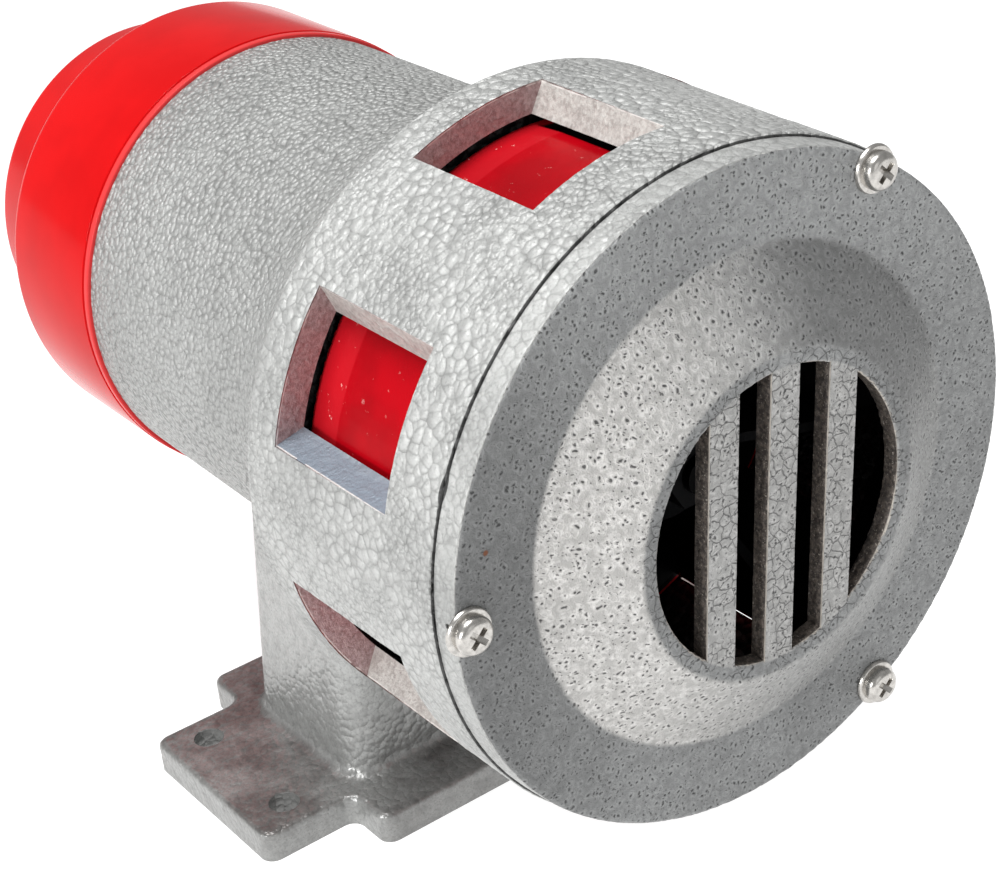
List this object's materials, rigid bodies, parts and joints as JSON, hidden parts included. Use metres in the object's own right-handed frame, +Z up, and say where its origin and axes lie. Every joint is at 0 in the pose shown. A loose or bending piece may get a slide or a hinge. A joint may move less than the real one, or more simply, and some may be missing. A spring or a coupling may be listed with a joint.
{
  "type": "motor siren",
  "caption": "Motor-driven alarm siren: ported die-cast drum on a column foot, barred front cover with screws, red chopper rotor inside and a red stepped rear cap.",
  "frame": {"origin": "centre of the foot's four bolt holes on its mounting face", "axes": "+Z up away from the mounting face, siren axis along Y with the air intake facing -Y, +X to the right seen from the front"},
  "size_m": [0.1361, 0.234, 0.1666],
  "materials": {
    "body_enamel": "light grey hammertone enamel over die-cast aluminium",
    "cover_enamel": "mid grey hammertone enamel with fine craters",
    "red_plastic": "glossy bright red moulding",
    "rotor_enamel": "glossy deep red enamel",
    "black_enamel": "dull black enamel",
    "zinc_plate": "bright zinc plate",
    "mild_steel": "turned steel",
    "bearing_steel": "ground bearing steel",
    "brass_parts": "brass",
    "copper_bars": "turned copper",
    "laminations": "varnished electrical steel laminations",
    "varnished_wire": "varnished copper winding",
    "bare_aluminium": "bare die-cast aluminium",
    "phenolic": "dark phenolic moulding",
    "carbon": "pressed carbon",
    "white_plastic": "white nylon",
    "grommet_rubber": "black rubber"
  },
  "bodies": {
    "casing": {"bearing_retainer": "mild_steel", "bearing_retainer_screws": "zinc_plate", "brush_blocks": "phenolic", "brush_cap_left": "phenolic", "brush_cap_right": "phenolic", "brush_holder_left": "brass_parts", "brush_holder_right": "brass_parts", "brush_spring_left": "mild_steel", "brush_spring_right": "mild_steel", "cable_grommet": "grommet_rubber", "cover_screw_washers": "zinc_plate", "cover_screws": "zinc_plate", "field_coils": "varnished_wire", "front_bearing_outer_race": "bearing_steel", "front_cover": "cover_enamel", "housing": "body_enamel", "rear_bearing_outer_race": "bearing_steel", "rear_bracket": "bare_aluminium", "rear_cap": "red_plastic", "rear_cap_screws": "zinc_plate", "stator_core": "laminations", "suppression_capacitor": "white_plastic", "terminal_block": "white_plastic", "terminal_screws": "brass_parts"},
    "rotor": {"rotor_drum": "rotor_enamel", "impeller": "black_enamel", "rotor_washer": "black_enamel", "rotor_nut": "black_enamel", "motor_shaft": "mild_steel", "front_bearing_inner_race": "bearing_steel", "rear_bearing_inner_race": "bearing_steel", "armature_core": "laminations", "armature_winding": "varnished_wire", "commutator": "copper_bars"},
    "front_ball_set": {"front_bearing_balls": "bearing_steel", "front_bearing_cage": "brass_parts"},
    "rear_ball_set": {"rear_bearing_balls": "bearing_steel", "rear_bearing_cage": "brass_parts"},
    "right_brush": {"carbon_brush_right": "carbon"},
    "left_brush": {"carbon_brush_left": "carbon"}
  },
  "joints": [
    {"name": "rotor_spin", "type": "hinge", "parent": "casing", "child": "rotor", "pos_m": [0, 0, 0.099], "axis": [0, 1, 0], "continuous": true},
    {"name": "front_ball_set_spin", "type": "hinge", "parent": "casing", "child": "front_ball_set", "pos_m": [0, 0, 0.099], "axis": [0, 1, 0], "continuous": true},
    {"name": "rear_ball_set_spin", "type": "hinge", "parent": "casing", "child": "rear_ball_set", "pos_m": [0, 0, 0.099], "axis": [0, 1, 0], "continuous": true},
    {"name": "right_brush_slide", "type": "slide", "parent": "casing", "child": "right_brush", "axis": [1, 0, 0], "range_m": [0, 0.004], "stiffness_N_per_m": 120, "springref_m": -0.012, "deforming": ["brush_spring_right"]},
    {"name": "left_brush_slide", "type": "slide", "parent": "casing", "child": "left_brush", "axis": [-1, 0, 0], "range_m": [0, 0.004], "stiffness_N_per_m": 120, "springref_m": -0.012, "deforming": ["brush_spring_left"]}
  ],
  "couplings": [
    {"joint": "front_ball_set_spin", "follows": "rotor_spin", "ratio": 0.3678},
    {"joint": "rear_ball_set_spin", "follows": "rotor_spin", "ratio": 0.368}
  ]
}
